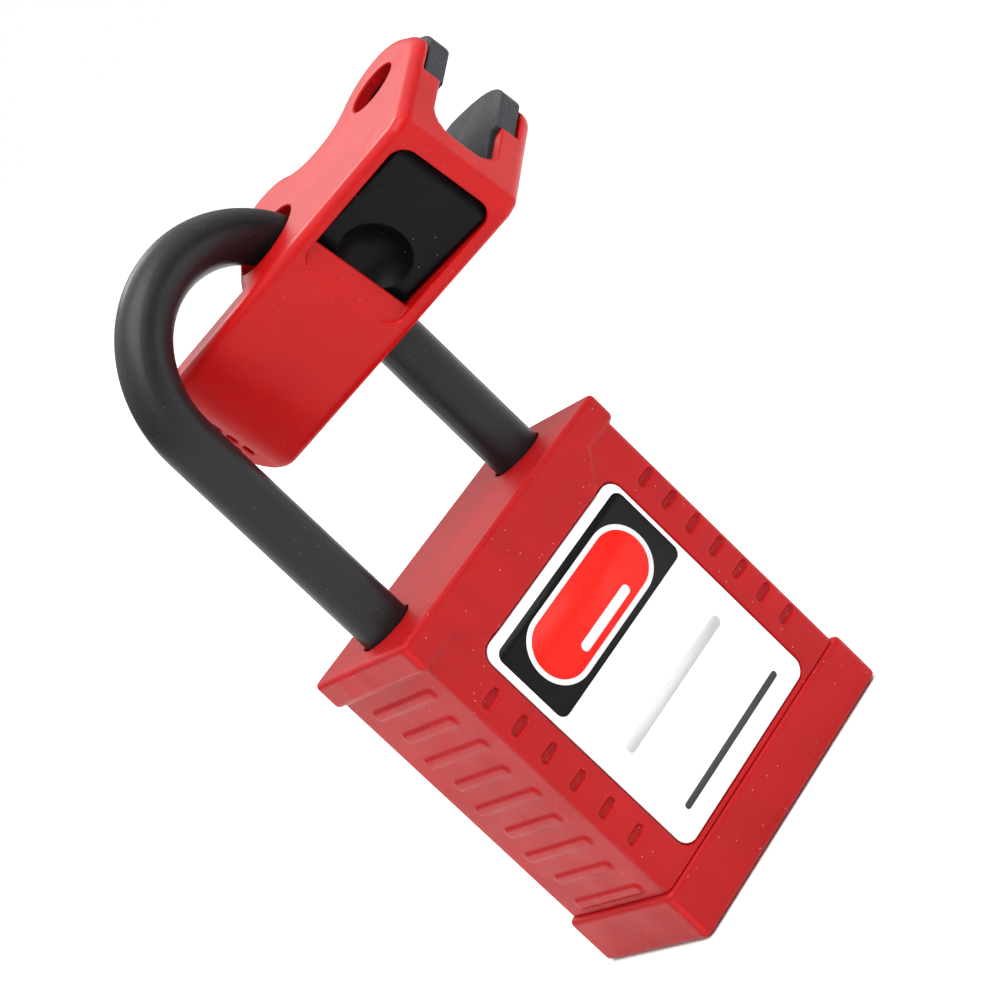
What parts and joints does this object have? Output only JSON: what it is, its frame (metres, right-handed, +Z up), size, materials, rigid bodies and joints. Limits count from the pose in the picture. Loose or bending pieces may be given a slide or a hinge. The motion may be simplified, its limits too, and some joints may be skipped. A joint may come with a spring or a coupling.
{
  "type": "safety padlock",
  "caption": "Nylon-bodied safety padlock, locked, with a thumb-slider clamp for a miniature circuit breaker held captive on its nylon shackle.",
  "frame": {"origin": "middle of the lock body's top face, between the shackle legs, where a hasp bears", "axes": "+Z up along the shackle, +X towards the leg that carries the clamp, -Y out of the front label"},
  "size_m": [0.0571, 0.0351, 0.0895],
  "materials": {
    "red_body": "fine satin texture",
    "red_clamp": "semi-gloss",
    "black_nylon": "satin",
    "dark_grip": "grained",
    "white_label": "glossy sticker",
    "brass": "machined",
    "steel": "machined"
  },
  "bodies": {
    "lock_body": {"body_shell": "red_body", "base_cover": "red_body", "shackle_stop_pin": "steel", "shackle_spring": "steel", "cylinder_housing": "brass", "pin_chamber_strip": "brass", "front_label": "white_label", "back_label": "white_label", "driver_pin_1": "brass", "driver_pin_2": "brass", "driver_pin_3": "brass", "driver_pin_4": "brass", "driver_pin_5": "brass", "driver_pin_6": "brass", "pin_spring_1": "steel", "pin_spring_2": "steel", "pin_spring_3": "steel", "pin_spring_4": "steel", "pin_spring_5": "steel", "pin_spring_6": "steel"},
    "shackle": {"shackle": "black_nylon"},
    "plug": {"plug": "brass", "plug_clip": "steel", "cam": "steel", "key_pin_1": "brass", "key_pin_2": "brass", "key_pin_3": "brass", "key_pin_4": "brass", "key_pin_5": "brass", "key_pin_6": "brass"},
    "latch_right": {"latch_right": "steel"},
    "latch_left": {"latch_left": "steel"},
    "clamp": {"clamp_housing": "red_clamp"},
    "clamp_slider": {"clamp_slider": "black_nylon"},
    "clamp_jaw_right": {"clamp_jaw_right": "dark_grip"},
    "clamp_jaw_left": {"clamp_jaw_left": "dark_grip"}
  },
  "joints": [
    {"name": "shackle_rise", "type": "slide", "parent": "lock_body", "child": "shackle", "axis": [0, 0, 1], "range_m": [0, 0.0105], "deforming": ["shackle_spring"]},
    {"name": "plug_turn", "type": "hinge", "parent": "lock_body", "child": "plug", "pos_m": [0, 0, -0.033], "axis": [0, 0, 1], "range_deg": [0, 90]},
    {"name": "latch_right_slide", "type": "slide", "parent": "lock_body", "child": "latch_right", "axis": [-1, 0, 0], "range_m": [0, 0.0032]},
    {"name": "latch_left_slide", "type": "slide", "parent": "lock_body", "child": "latch_left", "axis": [1, 0, 0], "range_m": [0, 0.0032]},
    {"name": "clamp_swing", "type": "hinge", "parent": "shackle", "child": "clamp", "pos_m": [0.01235, 0.00069, 0.02825], "axis": [0.2038, 0.0515, -0.9776], "range_deg": [-150, 90]},
    {"name": "clamp_slide", "type": "slide", "parent": "clamp", "child": "clamp_slider", "axis": [-0.6361, 0.766, -0.0922], "range_m": [0, 0.0024]},
    {"name": "clamp_jaw_right_slide", "type": "slide", "parent": "clamp", "child": "clamp_jaw_right", "axis": [-0.2038, -0.0515, 0.9776], "range_m": [0, 0.0012]},
    {"name": "clamp_jaw_left_slide", "type": "slide", "parent": "clamp", "child": "clamp_jaw_left", "axis": [0.2038, 0.0515, -0.9776], "range_m": [0, 0.0012]}
  ],
  "couplings": [
    {"joint": "plug_turn", "follows": "shackle_rise", "rad_per_m": 149.5},
    {"joint": "latch_right_slide", "follows": "shackle_rise", "ratio": 0.3},
    {"joint": "latch_left_slide", "follows": "shackle_rise", "ratio": 0.3},
    {"joint": "clamp_jaw_right_slide", "follows": "clamp_slide", "ratio": 0.5},
    {"joint": "clamp_jaw_left_slide", "follows": "clamp_slide", "ratio": 0.5}
  ]
}
